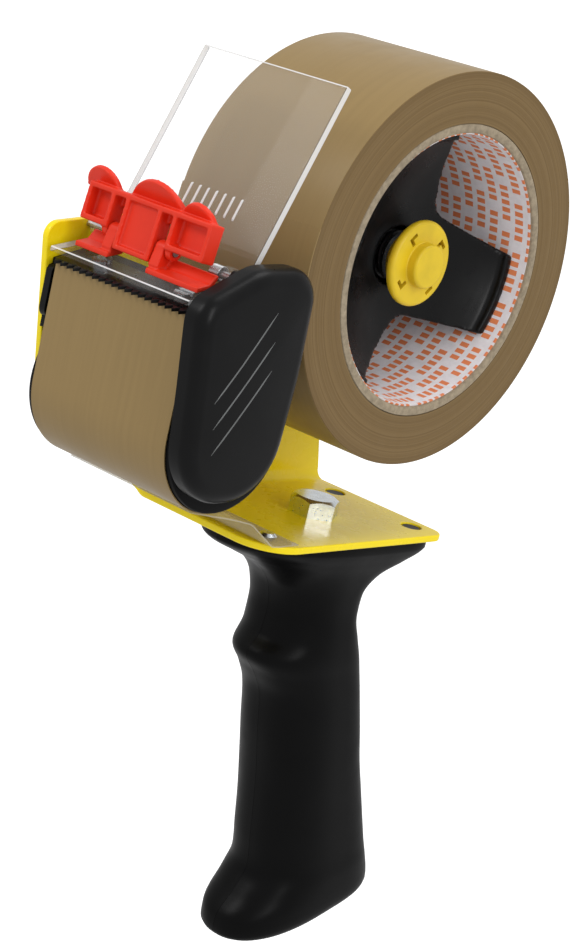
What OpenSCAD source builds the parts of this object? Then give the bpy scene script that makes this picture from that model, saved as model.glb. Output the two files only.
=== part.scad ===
// Hand-held packing tape dispenser with a pistol handle.
// Millimetres. +X is the open side with the brake knob, -Y is the cutting end, +Z is up.
// The origin is the middle of the handle grip.

/* [Tape roll] */
// Width of the tape.
tape_width = 50; // [48:1:50]
// Outer radius of a full roll.
roll_r = 54.5; // [45:0.5:58]
// Inner radius of the paper core.
core_r = 38; // [37:0.5:39]
// Thickness of the paper core.
core_wall = 2.5; // [1.5:0.5:5]
// Roll axis, measured back from the grip centre.
roll_y = -18; // [-30:1:-10]
// Roll axis, measured up from the grip centre.
roll_z = 145; // [135:1:160]

/* [Frame] */
// Sheet thickness of the painted frame.
plate_t = 2; // [1.5:0.5:3]
// Outer face of the side plate.
plate_x = -30; // [-32:0.5:-29]
// Free edge of the base flange.
base_right = 23.5; // [20:0.5:28]
// Front edge of the base flange, from the roll axis.
base_front = -43; // [-50:1:-35]
// Rear edge of the base flange, from the roll axis.
base_back = 33; // [28:1:38]
// Underside of the base flange, below the roll axis.
base_drop = 79.5; // [74:0.5:85]

/* [Roller] */
// Roller axis, from the roll axis.
roller_y = -72.4; // [-76:0.2:-70]
// Roller axis, from the roll axis.
roller_z = -44.5; // [-50:0.5:-40]
// Outer radius of the rubber sleeve.
roller_r = 20; // [16:0.5:22]
// Half the length of the roller.
roller_half = 26.8; // [24:0.2:27.2]

/* [Handle] */
// Wall of the two handle shells.
handle_wall = 2.8; // [2:0.2:4]
// Size across the flats of the bolt and nut.
hex_af = 13; // [10:1:17]
// Diameter of the handle bolt.
bolt_d = 8; // [6:1:10]
// Bolt position along the base, from the roll axis.
bolt_y = 0; // [-5:1:10]

/* [Cutting head] */
// Pitch of the blade teeth.
tooth_pitch = 2.4; // [1.6:0.1:3.2]
// Length of each tooth.
tooth_len = 1.7; // [1:0.1:2.5]
// Half the width of the blade.
blade_half = 25.6; // [24:0.2:25.6]
// Thickness of the clear guard plate.
guard_t = 2; // [1.5:0.5:3]

/* [Brake] */
// Diameter of the hub axle journal.
axle_d = 10; // [8:1:12]
// Diameter of the brake knob.
knob_d = 24; // [20:1:32]
// Turns of the brake spring.
spring_turns = 5; // [3:1:7]

/* [Hidden] */
$fn = 96;
arc_step = 8;
fit = 0.1;
plate_in = plate_x + plate_t;
base_z = -base_drop;
base_top = base_z + plate_t;
winding_in = core_r + core_wall;
web_t = 0.3;
web_in = roller_r + 0.2;
web_out = web_in + web_t;
pivot_y = -81.3;
pivot_z = -4;
hinge_y = -87;
hinge_z = -2;
lean = 8;
pivot_d = 2;
blade_slope = atan(3.1 / 11.3);
holder_bolts = [[-86, -17], [-87, -24]];
peg_at = [15, 27];
liner_r = core_r - 0.5;
hub_r = liner_r - 0.05;
arm_angles = [-12, 108, 228];
nut_top = -96;

yellow = [0.93, 0.79, 0.12];
black = [0.05, 0.05, 0.05];
red = [0.86, 0.22, 0.14];
zinc = [0.75, 0.76, 0.78];
steel = [0.6, 0.6, 0.62];
tape = [0.57, 0.48, 0.33];
clear = [0.85, 0.9, 0.9, 0.4];

// ---- outline helpers ----

function unit(v) = v / norm(v);
function flat(p) = [p[0], p[1]];
function spin(v, t) = [v[0] * cos(t) - v[1] * sin(t), v[0] * sin(t) + v[1] * cos(t)];

// Points of the arc of radius r that rounds corner b between a and c.
function corner_arc(a, b, c, r) =
    r <= 0 ? [b] :
    let (u = unit(a - b), v = unit(c - b))
    let (half = acos(u * v) / 2)
    let (o = b + unit(u + v) * (r / sin(half)))
    let (s = b + u * (r / tan(half)) - o)
    let (e = b + v * (r / tan(half)) - o)
    let (way = s[0] * e[1] - s[1] * e[0] > 0 ? 1 : -1)
    let (turn = 180 - 2 * half)
    let (n = max(2, ceil(turn / arc_step)))
    [for (i = [0 : n]) o + spin(s, way * turn * i / n)];

// A closed outline from [y, z, corner radius] points.
function rounded(p) =
    let (n = len(p))
    [for (i = [0 : n - 1])
        each corner_arc(flat(p[(i + n - 1) % n]), flat(p[i]), flat(p[(i + 1) % n]), p[i][2])];

// Extrudes a (y, z) outline along X.
module along_x(x0, length) {
    translate([x0, 0, 0])
        rotate([90, 0, 90])
            linear_extrude(length)
                children();
}

// A cylinder along X.
module rod_x(x0, length, d, y = 0, z = 0) {
    translate([x0, y, z])
        rotate([0, 90, 0])
            cylinder(h = length, d = d);
}

// A revolved (radius, x) profile about an X axis.
module turned_x(points) {
    rotate([0, 90, 0])
        rotate_extrude()
            polygon(points);
}

// Moves geometry that is measured from the roll axis into the part frame.
module at_roll() {
    translate([0, roll_y, roll_z])
        children();
}

module both_sides() {
    for (side = [-1, 1])
        scale_side(side)
            children();
}

module scale_side(side) {
    if (side > 0)
        children();
    else
        mirror([1, 0, 0])
            children();
}

// ---- frame ----

side_outline = [[33, -74.5, 0], [30, -64, 20], [26, -20, 30], [27, 27, 24],
    [-22, 27, 24], [-48, 2, 18], [-95.5, -4.5, 4], [-88.5, -44, 8],
    [-74, -58, 20], [-46, -74.5, 0]];
bend_in = 3;
bend_out = bend_in + plate_t;
bend_x = plate_x + bend_out;
bend_z = base_z + bend_out;

module base_outline() {
    depth = base_back - base_front;
    polygon(rounded([[bend_x, base_front, 0], [base_right, base_front, 13],
        [base_right, base_front + depth, 4.5], [bend_x, base_back, 0]]));
}

module bend_section() {
    intersection() {
        difference() {
            circle(r = bend_out);
            circle(r = bend_in);
        }
        translate([-bend_out, -bend_out])
            square(bend_out);
    }
}

module frame_plate() {
    color(yellow)
    at_roll() {
        difference() {
            union() {
                along_x(plate_x, plate_t)
                    polygon(rounded(side_outline));
                translate([bend_x, base_back, bend_z])
                    rotate([90, 0, 0])
                        linear_extrude(base_back - base_front)
                            bend_section();
                translate([0, 0, base_z])
                    linear_extrude(plate_t)
                        base_outline();
            }
            rod_x(plate_x - 1, plate_t + 2, 8 + fit);
            rod_x(plate_x - 1, plate_t + 2, 8 + fit, roller_y, roller_z);
            for (p = holder_bolts)
                rod_x(plate_x - 1, plate_t + 2, 4.3, p[0], p[1]);
            rod_x(plate_x - 1, plate_t + 2, pivot_d + 0.05, pivot_y, pivot_z);
            translate([0, bolt_y, base_z - 1])
                cylinder(h = plate_t + 2, d = bolt_d + 0.5);
            for (x = [-peg_at[0], peg_at[0]])
                translate([x, peg_at[1], base_z - 1])
                    cylinder(h = plate_t + 2, d = 6);
            for (x = [-16, 14])
                translate([x, -34, base_z - 1])
                    cylinder(h = plate_t + 2, d = 3.1);
        }
    }
}

// ---- handle ----

// Stations down the handle: height, front y, back y, y of the widest point, half width,
// squareness of the front half and of the back half.
grip_stations = [
    [-79.5, -38, 32.5, 5, 21, 2.2, 8], [-83, -38, 32.5, 5, 21, 2.2, 8],
    [-87, -29, 28, 5, 19, 2.2, 6], [-92, -18, 19.5, 5, 17, 2.3, 4.5],
    [-98, -12, 16, 5, 15.6, 2.4, 4], [-105, -10, 16.5, 6, 15, 2.4, 4],
    [-112, -10.5, 19.5, 7, 15.3, 2.3, 4], [-118, -14.5, 22.5, 8, 15.4, 2.2, 4],
    [-124, -9.5, 25, 10, 15.2, 2.3, 4], [-130, -5.2, 27, 13, 15.2, 2.4, 4],
    [-143, -1.5, 31.5, 17, 15.3, 2.4, 4], [-155, 2, 35.5, 20, 15.4, 2.4, 4],
    [-165, 4.3, 39.5, 24, 15.4, 2.4, 4], [-175, 6.3, 43.5, 27, 15.5, 2.4, 4],
    [-184, 8, 47, 30, 15.7, 2.4, 4], [-190, 4, 49.5, 31, 16, 2.4, 4],
    [-196, -1, 52, 31, 16, 2.4, 4], [-200.5, -0.5, 53, 31, 15.8, 2.4, 4],
    [-203.5, 6, 51.5, 31, 13.5, 2.4, 4]];
// The sections tip forward below lean_top, up to foot_lean degrees at the foot.
lean_top = -110;
lean_run = 90;
foot_lean = 16;
// Heights between which the grip is hollow.
hollow_top = -113;
hollow_end = -198;
hollow_stations = [for (s = grip_stations) if (s[0] < hollow_top && s[0] > hollow_end) s];

function section_lean(z) = foot_lean * max(0, min(1, (lean_top - z) / lean_run));

// One point of a station's outline at angle t, drawn in by the wall thickness.
function grip_point(s, t, wall = 0) =
    let (square = sin(t) < 0 ? s[5] : s[6])
    let (depth = (sin(t) < 0 ? s[3] - s[1] : s[2] - s[3]) - wall)
    let (x = (s[4] - wall) * sign(cos(t)) * pow(abs(cos(t)), 2 / square))
    let (y = depth * sign(sin(t)) * pow(abs(sin(t)), 2 / square))
    [x, s[3] + y, s[0] + y * tan(section_lean(s[0]))];

function half_ring(s, n) =
    [for (i = [0 : n]) grip_point(s, -90 + 180 * i / n)];

function full_ring(s, wall, n) =
    [for (i = [0 : n - 1]) grip_point(s, 360 * (i + 0.5) / n, wall)];

// A solid between rings of equal point count; the stations run downwards.
module loft(rings) {
    n = len(rings[0]);
    m = len(rings);
    points = [for (r = rings) each r];
    sides = [for (k = [0 : m - 2]) for (i = [0 : n - 1])
        let (j = (i + 1) % n)
        each [[k * n + i, k * n + j, (k + 1) * n + j], [k * n + i, (k + 1) * n + j, (k + 1) * n + i]]];
    top = [for (i = [0 : n - 1]) n - 1 - i];
    bottom = [for (i = [0 : n - 1]) (m - 1) * n + i];
    polyhedron(points = points, faces = concat([top], sides, [bottom]));
}

module half_grip() {
    difference() {
        loft([for (s = grip_stations) half_ring(s, 20)]);
        loft([for (s = hollow_stations) full_ring(s, handle_wall, 24)]);
        translate([0, bolt_y, -107])
            cylinder(h = 33, d = bolt_d + 0.4);
        translate([0, bolt_y, nut_top - 6.7])
            rotate([0, 0, 30])
                cylinder(h = 6.8, d = (hex_af + 0.2) / cos(30), $fn = 6);
    }
    translate([peg_at[0], peg_at[1], -84])
        cylinder(h = 84 - base_drop + 1.9, d = 5.6);
}

// Places of the screws that close the two shells.
shell_screws = [[13, -133], [29, -184]];

module handle_right_shell() {
    color(black)
    at_roll() {
        difference() {
            union() {
                half_grip();
                for (p = shell_screws)
                    rod_x(0, 13.5, 7, p[0], p[1]);
            }
            for (p = shell_screws)
                rod_x(-1, 11, 3, p[0], p[1]);
        }
    }
}

module handle_left_shell() {
    color(black)
    at_roll() {
        difference() {
            mirror([1, 0, 0])
                union() {
                    half_grip();
                    for (p = shell_screws)
                        rod_x(0, 13.5, 9, p[0], p[1]);
                }
            for (p = shell_screws) {
                rod_x(-20, 21, 3.3, p[0], p[1]);
                rod_x(-20, 10, 6.2, p[0], p[1]);
            }
        }
    }
}

module handle_screws() {
    color(zinc)
    at_roll() {
        for (p = shell_screws) {
            difference() {
                union() {
                    rod_x(-12, 2, 5.8, p[0], p[1]);
                    rod_x(-10.1, 19, 3, p[0], p[1]);
                }
                translate([-12.1, p[0] - 2, p[1] - 0.5])
                    cube([1, 4, 1]);
            }
        }
    }
}

module hex_prism(height, af) {
    rotate([0, 0, 30])
        cylinder(h = height, d = af / cos(30), $fn = 6);
}

module handle_bolt() {
    color(zinc)
    at_roll()
        translate([0, bolt_y, base_top]) {
            intersection() {
                hex_prism(5.3, hex_af);
                union() {
                    cylinder(h = 4.5, d = 2 * hex_af);
                    translate([0, 0, 4.5])
                        cylinder(h = 0.8, r1 = hex_af / 2 + 1, r2 = hex_af / 2 - 0.5);
                }
            }
            translate([0, 0, -28])
                cylinder(h = 28.5, d = bolt_d);
        }
}

module handle_nut() {
    color(zinc)
    at_roll()
        translate([0, bolt_y, nut_top - 6.5])
            difference() {
                hex_prism(6.5, hex_af);
                translate([0, 0, -1])
                    cylinder(h = 9, d = bolt_d + 0.05);
            }
}

// ---- hub axle and brake ----

module hub_axle() {
    color(steel)
    at_roll() {
        rod_x(plate_x - 2, 2, 14);
        rod_x(plate_x - 0.5, plate_t + 1, 8);
        rod_x(plate_in, 2.4, 20);
        rod_x(plate_in + 2, 34, axle_d);
        rod_x(7.5, 11.2, 6);
    }
}

module friction_washer() {
    color([0.75, 0.72, 0.65])
    at_roll()
        difference() {
            rod_x(plate_in + 2.5, 1.3, 26);
            rod_x(plate_in + 2, 3, axle_d + 0.3);
        }
}

// Centre line and section of the coil.
spring_r = 6.5;
wire_r = 0.7;
spring_x0 = -3.2;
spring_x1 = 8.8;
spring_steps = 18;
spring_sides = 8;

function coil_ring(k) =
    let (t = k * 360 / spring_steps)
    let (x = spring_x0 + (spring_x1 - spring_x0) * k / (spring_turns * spring_steps))
    [for (i = [0 : spring_sides - 1])
        let (a = i * 360 / spring_sides, r = spring_r + wire_r * cos(a))
        [x + wire_r * sin(a), r * cos(t), r * sin(t)]];

module brake_spring() {
    color(steel)
    at_roll()
        loft([for (k = [0 : spring_turns * spring_steps]) coil_ring(k)]);
}

module pressure_washer() {
    color(zinc)
    at_roll()
        difference() {
            rod_x(9.6, 1.2, 15);
            rod_x(9, 3, 6 + 4 * fit);
        }
}

// Section of the bell-shaped arms: radius and height, rising towards the rim.
bell_in = 10.6;
bell_steps = 12;
bell_t = 3;
function bell_height(w) = 8 + 11.5 * pow(w, 1.6);
bell = [for (i = [0 : bell_steps])
    [bell_in + (hub_r - bell_in) * i / bell_steps, bell_height(i / bell_steps)]];

// Half width of an arm at distance s from the axis.
function arm_half(s) = 14.8 - 0.085 * s;
function polar(r, a) = [r * cos(a), r * sin(a)];

star_points = [for (a = arm_angles)
    each [
        concat(spin([39, -arm_half(39)], a), [0]),
        concat(spin([39, arm_half(39)], a), [0]),
        concat(polar(17.2, a + 60), [8])]];

module bell_body() {
    turned_x(concat(
        [for (p = bell) [p[0], p[1]]],
        [for (i = [len(bell) - 1 : -1 : 0]) [bell[i][0], bell[i][1] - bell_t]]));
}

module pad(a) {
    intersection() {
        difference() {
            rod_x(-21.6, 41.1, 2 * hub_r);
            rod_x(-23, 44, 2 * (hub_r - 2.8));
        }
        rotate([a, 0, 0])
            translate([-23, 20, -arm_half(37)])
                cube([44, 20, 2 * arm_half(37)]);
    }
}

module hub() {
    color(black)
    at_roll() {
        difference() {
            union() {
                rod_x(-24, 2.5, 2 * hub_r);
                rod_x(-22, 30, 22);
                intersection() {
                    bell_body();
                    along_x(0, 25)
                        polygon(rounded(star_points));
                }
                for (a = arm_angles)
                    pad(a);
            }
            rod_x(-25, 30, axle_d + fit);
            rod_x(-4, 14, 16.4);
        }
    }
}

module paper_core() {
    color([0.62, 0.57, 0.5])
    at_roll()
        difference() {
            rod_x(-tape_width / 2, tape_width, 2 * winding_in);
            rod_x(-tape_width, 2 * tape_width, 2 * core_r);
        }
}

module core_liner() {
    color([0.93, 0.9, 0.93])
    at_roll()
        difference() {
            rod_x(-tape_width / 2, tape_width - 0.5, 2 * core_r);
            rod_x(-tape_width, 2 * tape_width, 2 * liner_r);
        }
}

module tape_winding() {
    color(tape)
    at_roll()
        difference() {
            rod_x(-tape_width / 2, tape_width, 2 * roll_r);
            rod_x(-tape_width, 2 * tape_width, 2 * winding_in);
        }
}

// The brake knob: a thin disc with a round boss, on a neck that presses on the washer.
knob_r = knob_d / 2;
knob_x = 14.4;
knob_t = 2.8;
boss_r = 6.2;
boss_t = 3.2;

module brake_knob() {
    disc_top = knob_x + knob_t;
    boss_top = disc_top + boss_t;
    color(yellow)
    at_roll() {
        difference() {
            union() {
                rod_x(10.9, 4, 9);
                turned_x([[0, knob_x], [knob_r - 0.8, knob_x], [knob_r, knob_x + 0.8],
                    [knob_r, disc_top - 0.8], [knob_r - 0.8, disc_top], [0, disc_top]]);
                turned_x([[0, disc_top - 1], [boss_r, disc_top - 1], [boss_r, boss_top - 0.8],
                    [boss_r - 0.8, boss_top], [0, boss_top]]);
            }
            rod_x(9, 10, 6.2);
            for (a = [45 : 90 : 315])
                rotate([a, 0, 0]) {
                    translate([knob_x - 1, 6.9, -0.6])
                        cube([knob_t + 2, 2.8, 1.2]);
                    translate([knob_x - 1, 8.6, -2.4])
                        cube([knob_t + 2, 1.1, 2.2]);
                }
        }
    }
}

// ---- roller ----

module at_roller() {
    translate([0, roller_y, roller_z])
        children();
}

module roller_sleeve() {
    color(black)
    at_roll()
        at_roller()
            difference() {
                rod_x(-roller_half, 2 * roller_half, 2 * roller_r);
                rod_x(-roller_half - 1, 2 * roller_half + 2, 2 * roller_r - 5.6);
            }
}

module roller_core() {
    wall_r = roller_r - 2.8;
    color([0.12, 0.12, 0.12])
    at_roll()
        at_roller()
            difference() {
                rod_x(-roller_half, 2 * roller_half, 2 * wall_r);
                for (x = [-roller_half - 1, 8])
                    difference() {
                        rod_x(x, roller_half - 7, 2 * wall_r - 4);
                        rod_x(x - 1, roller_half, 14);
                    }
                rod_x(-roller_half - 1, 2 * roller_half + 2, 8 + 2 * fit);
            }
}

module roller_axle() {
    color(steel)
    at_roll()
        at_roller() {
            rod_x(plate_x - 1.6, 1.6, 12);
            rod_x(plate_x - 0.5, 62.5, 8);
        }
}

module roller_retainer() {
    color(zinc)
    at_roll()
        at_roller()
            difference() {
                rod_x(27, 0.8, 13);
                rod_x(26, 3, 8.04);
            }
}

// The tape between the roll and the blade.
centre_gap = norm([roller_y, roller_z]);
centre_angle = 180 + atan(roller_z / roller_y);
leave_r = roll_r + 0.25;
leave_angle = centre_angle - acos((leave_r + web_out) / centre_gap);
leave_at = polar(leave_r, leave_angle);
meet_at = [roller_y, roller_z] + polar(web_out, leave_angle + 180);
web_top = -13.6;

module tape_web() {
    run = meet_at - leave_at;
    color(tape)
    at_roll()
        along_x(-tape_width / 2, tape_width) {
            translate(leave_at)
                rotate(atan2(run[1], run[0]))
                    translate([0, -web_t])
                        square([norm(run) + 0.1, web_t]);
            translate([roller_y, roller_z])
                difference() {
                    circle(r = web_out);
                    circle(r = web_in);
                    polygon([[0, 0], polar(60, leave_angle - 180), [60, 60], [-60, 60], [-60, 0]]);
                }
            translate([roller_y - web_out, roller_z - 0.05])
                square([web_t, web_top - roller_z]);
        }
}

// Springy sheet that rests under the roller.
tongue_t = 0.4;
tongue_foot = [-41, base_top];
tongue_knee = [-50, -71];
tongue_tip = [-75, -66];

module bar(a, b, t) {
    run = b - a;
    translate(a)
        rotate(atan2(run[1], run[0]))
            translate([0, -t])
                square([norm(run), t]);
}

module spring_tongue() {
    color(clear)
    at_roll()
        difference() {
            along_x(-24, 46) {
                translate([-41, base_top])
                    square([11, tongue_t]);
                polygon([tongue_foot, tongue_foot + [0.6, tongue_t],
                    tongue_knee + [0.15, tongue_t], tongue_tip + [0, tongue_t],
                    tongue_tip, tongue_knee]);
            }
            for (x = [-16, 14])
                translate([x, -34, base_top - 1])
                    cylinder(h = 3, d = 3.1);
        }
}

module tongue_rivets() {
    color(zinc)
    at_roll()
        for (x = [-16, 14])
            translate([x, -34, base_z]) {
                cylinder(h = plate_t + tongue_t + 0.2, d = 3);
                translate([0, 0, plate_t + tongue_t + 0.2])
                    cylinder(h = 0.8, r1 = 2.6, r2 = 1.8);
            }
}

// ---- cutting head ----

module at_blade() {
    translate([0, -83.5, -10.2])
        rotate([blade_slope, 0, 0])
            children();
}

blade_depth = 11.7;
blade_t = 0.9;
blade_bolts = [-15, 15];
blade_bolt_y = -3.4;

module blade_teeth() {
    count = floor(2 * blade_half / tooth_pitch);
    start = -count * tooth_pitch / 2;
    root_y = tooth_len - blade_depth;
    polygon(concat(
        [[blade_half, 0], [-blade_half, 0], [-blade_half, root_y]],
        [for (i = [0 : count - 1])
            each [[start + i * tooth_pitch, root_y],
                [start + (i + 0.5) * tooth_pitch, -blade_depth]]],
        [[start + count * tooth_pitch, root_y], [blade_half, root_y]]));
}

module cutting_blade() {
    color(black)
    at_roll()
        at_blade()
            translate([0, 0, -blade_t])
                difference() {
                    linear_extrude(blade_t)
                        blade_teeth();
                    for (x = blade_bolts)
                        translate([x, blade_bolt_y, -1])
                            cylinder(h = 3, d = 3.2);
                }
}

module blade_screws() {
    color(zinc)
    at_roll()
        at_blade()
            for (x = blade_bolts)
                translate([x, blade_bolt_y, 0])
                    difference() {
                        union() {
                            cylinder(h = 1.1, d = 5.2);
                            translate([0, 0, -8])
                                cylinder(h = 8.5, d = 3);
                        }
                        translate([-3, -0.4, 0.5])
                            cube([6, 0.8, 1]);
                    }
}

// End plates of the holder: the right one rises to hold a guard pivot pin; on the left the
// frame plate holds the pin.
left_cheek = [[-93, -29, 3], [-93, -15.5, 2], [-88.5, -13.5, 2], [-82, -11.8, 1], [-82, -29, 1]];
right_cheek = [[-93, -29, 3], [-93, -15.5, 2], [-88.5, -13.5, 2], [-84.6, -3.4, 2],
    [-83.4, -1.7, 1.5], [-79.2, -1.7, 1.5], [-78.7, -9, 3], [-82, -12, 2], [-82, -29, 1]];

module blade_holder() {
    color(black)
    at_roll()
        difference() {
            union() {
                along_x(plate_in + 0.05, 55.85)
                    polygon([[-91.4, -13.33], [-78.5, -9.79], [-78.5, -11.4], [-82, -14], [-82, -28],
                        [-87, -31.5], [-91.4, -31.5]]);
                along_x(plate_in + 0.05, 2.1)
                    polygon(rounded(left_cheek));
                along_x(25.8, 2.1)
                    polygon(rounded(right_cheek));
            }
            along_x(-23, 46)
                polygon([[-89.5, -15.5], [-84, -15.5], [-84, -40], [-89.5, -40]]);
            for (p = holder_bolts)
                rod_x(-29, 14, 4.05, p[0], p[1]);
            for (p = holder_bolts)
                rod_x(20, 14, 3.1, p[0], p[1]);
            rod_x(24, 5, pivot_d + 0.05, pivot_y, pivot_z);
            at_roller()
                rod_x(-30, 60, 2 * (roller_r + 1));
            at_blade()
                for (x = blade_bolts)
                    translate([x, blade_bolt_y, -12])
                        cylinder(h = 14, d = 3.05);
        }
}

module holder_screws() {
    color(zinc)
    at_roll()
        for (p = holder_bolts)
            difference() {
                union() {
                    rod_x(plate_x - 2.2, 2.2, 7.5, p[0], p[1]);
                    rod_x(plate_x - 0.5, 9, 4, p[0], p[1]);
                }
                translate([plate_x - 2.3, p[0] - 3, p[1] - 0.5])
                    cube([1.1, 6, 1]);
            }
}

cover_x = 28;
cover_deep = 7.8;
cover_outline = [[-100, -9, 7], [-81, 0.5, 14], [-60, 1.5, 9], [-59, -26, 60],
    [-61, -59.5, 17], [-93.5, -59.5, 17], [-97, -30, 60]];
cover_mid = [-78.5, -29];

// The cover outline drawn in towards its middle by a distance.
function drawn_in(p, d) =
    [for (q = p) let (v = flat(q) - cover_mid) concat(cover_mid + v * (1 - d / norm(v)),
        [max(1, q[2] - d)])];

module side_cover() {
    color(black)
    at_roll() {
        difference() {
            hull() {
                along_x(cover_x, cover_deep - 2.6)
                    polygon(rounded(cover_outline));
                along_x(cover_x, cover_deep - 0.8)
                    polygon(rounded(drawn_in(cover_outline, 1.1)));
                along_x(cover_x, cover_deep)
                    polygon(rounded(drawn_in(cover_outline, 3)));
            }
            along_x(cover_x - 1, cover_deep - 1.2)
                polygon(rounded(drawn_in(cover_outline, 2.8)));
        }
        difference() {
            along_x(cover_x, cover_deep - 1.5)
                translate([roller_y, roller_z])
                    circle(d = 14);
            rod_x(cover_x - 1, 5.2, 8 + fit, roller_y, roller_z);
        }
        for (p = holder_bolts)
            rod_x(cover_x - 6, cover_deep + 4.5, 3, p[0], p[1]);
    }
}

module guard_pivot_pins() {
    color(steel)
    at_roll() {
        rod_x(17.4, 10.5, pivot_d, pivot_y, pivot_z);
        rod_x(plate_x + 0.1, -17.4 - plate_x - 0.1, pivot_d, pivot_y, pivot_z);
    }
}

// ---- clear guard and red flap ----

guard_slope = atan(3.7 / 17.3);
hood_t = 1.5;
guard_top = [-56.2, 45.7];
guard_foot = [-74.6, 2];
// The eyes that hang the guard on its pins.
eye_x = 21.6;
eye_w = 3.6;
eye_d = 5;

module guard_section() {
    up = unit(guard_top - guard_foot);
    back = [up[1], -up[0]] * guard_t;
    polygon(rounded([
        concat(guard_top, [0.4]),
        concat(guard_foot, [3]),
        [-77.9, -5.9, 2],
        [-95.8, -9.7, 0.5],
        [-95.8, -9.7 - hood_t, 0.5],
        [-77.2, -5.8 - hood_t - 0.15, 4],
        concat(guard_foot + back - up, [5]),
        concat(guard_top + back, [0.4])]));
}

module clear_guard() {
    color(clear)
    at_roll()
        difference() {
            union() {
                along_x(-25.2, 50.4)
                    guard_section();
                along_x(-27, 54)
                    polygon([[-95.8, -9.7], [-92.5, -9], [-92.5, -9 - hood_t],
                        [-95.8, -9.7 - hood_t]]);
                both_sides() {
                    rod_x(eye_x, eye_w, eye_d, pivot_y, pivot_z);
                    along_x(eye_x, eye_w)
                        polygon([[pivot_y - eye_d / 2, pivot_z], [pivot_y + eye_d / 2, pivot_z],
                            [pivot_y + eye_d / 2, pivot_z - 3], [pivot_y - eye_d / 2, pivot_z - 3.4]]);
                }
            }
            for (side = [-1, 1])
                rod_x(side * 22 - 5, 10, pivot_d + 0.2, pivot_y, pivot_z);
            for (x = blade_bolts)
                translate([x, -86.8, -11.2])
                    cylinder(h = 1.6, d = 6.4);
        }
}

// Torsion coils around the inner ends of the pivot pins, each with a leg against the guard.
module guard_spring() {
    coil_r = 1.75;
    coil_x = 18;
    wire = 0.6;
    color(steel)
    at_roll()
        both_sides()
            translate([0, pivot_y, pivot_z]) {
                rotate([0, 90, 0])
                    rotate_extrude()
                        for (k = [0 : 5])
                            translate([coil_r, coil_x + 0.55 * k])
                                circle(d = wire, $fn = 24);
                translate([coil_x - wire / 2, coil_r - 0.2, -wire / 2])
                    cube([wire, 2.1, wire]);
            }
}

// The red strip clipped on the hood, in two lengths, each with an arm that carries the flap.
// Each row is the strip's two ends and the arm's two ends along X.
clips = [[-22, -9.9, -13.3, -9.8], [4, 22.6, 3.9, 7.1]];
hinge_d = 2;
arm_d = 4.2;

module flap_bracket() {
    color(red)
    at_roll()
        difference() {
            for (c = clips) {
                along_x(c[0], c[1] - c[0])
                    polygon([[-90.8, -8.6], [-85.4, -7.5], [-83.9, -4.2],
                        [-84.9, -3.9], [-86.8, -6.4], [-90.8, -7.2]]);
                along_x(c[2], c[3] - c[2])
                    union() {
                        translate([hinge_y, hinge_z])
                            circle(d = arm_d);
                        polygon([[hinge_y - arm_d / 2, hinge_z], [hinge_y + arm_d / 2, hinge_z],
                            [-84.9, -6], [-89.6, -7.1], [-90.2, -6.2]]);
                    }
            }
            rod_x(-30, 60, hinge_d + 0.02, hinge_y, hinge_z);
        }
}

module flap_pin() {
    color(steel)
    at_roll()
        rod_x(flap_eyes[0], flap_eyes[1] + eye_len - flap_eyes[0], hinge_d, hinge_y, hinge_z);
}

// The flap along X: its two ends, the centre panel and the slots for the bracket's arms.
flap_left = -23.3;
flap_right = 20.9;
panel_left = -9.3;
panel_right = 3.4;
slot_w = 4.2;
slot_h = 14.2;
flap_eyes = [-15.5, 7.6];
eye_len = 2;
// Front and back of the flap's walls, and its top.
flap_front = -3;
flap_back = 1.8;
flap_top = 9.9;
wall_t = 1.6;
rib_t = 1.2;
panel_foot = -4.3;
// The finger lobes: centre, half width and height above the top rib.
lobes = [[-21.6, 6, 5.4], [-1.4, 9.7, 6.8], [13, 5.6, 4.6]];
lobe_tip = 34;

// Places geometry on the leaning plane of the flap; z runs up the flap from the hinge.
module on_flap() {
    translate([0, hinge_y, hinge_z])
        rotate([-lean, 0, 0])
            children();
}

// A thin plate standing on the leaning plane, drawn in (x, height).
module leaf(y0, t) {
    translate([0, y0 + t, 0])
        rotate([90, 0, 0])
            linear_extrude(t)
                children();
}

// The part above zero of a circle that is 2 * half wide there and rises by height.
module lobe(x, half, height) {
    r = (half * half + height * height) / (2 * height);
    intersection() {
        translate([x, height - r])
            circle(r = r);
        translate([x - 20, -1])
            square([40, 20]);
    }
}

module flap_walls() {
    depth = flap_back - flap_front;
    leaf(flap_back - wall_t, wall_t)
        polygon(rounded([[flap_left, 0.2, 1], [flap_left, flap_top, 1], [flap_right, flap_top, 1],
            [flap_right, 0.2, 1]]));
    translate([flap_left, flap_front, flap_top - 1.4])
        cube([flap_right - flap_left, depth, 1.4]);
    for (x = [[flap_left, panel_left - slot_w], [panel_right + slot_w, flap_right]])
        translate([x[0], flap_front, 0.1])
            cube([x[1] - x[0], depth, 1.5]);
    for (x = [flap_left, panel_left - slot_w - rib_t, panel_right + slot_w, flap_right - rib_t])
        translate([x, flap_front, 0.1])
            cube([rib_t, depth, flap_top - 0.5]);
    for (x = [panel_left, panel_right - rib_t])
        translate([x, flap_front, panel_foot])
            cube([rib_t, depth, flap_top - panel_foot]);
    translate([panel_left, flap_front, panel_foot])
        cube([panel_right - panel_left, depth, 1.3]);
    translate([panel_left, -1.7, panel_foot])
        cube([panel_right - panel_left, flap_back + 1.7, flap_top - panel_foot]);
    for (x = flap_eyes)
        rod_x(x, eye_len, 4.4);
}

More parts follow.
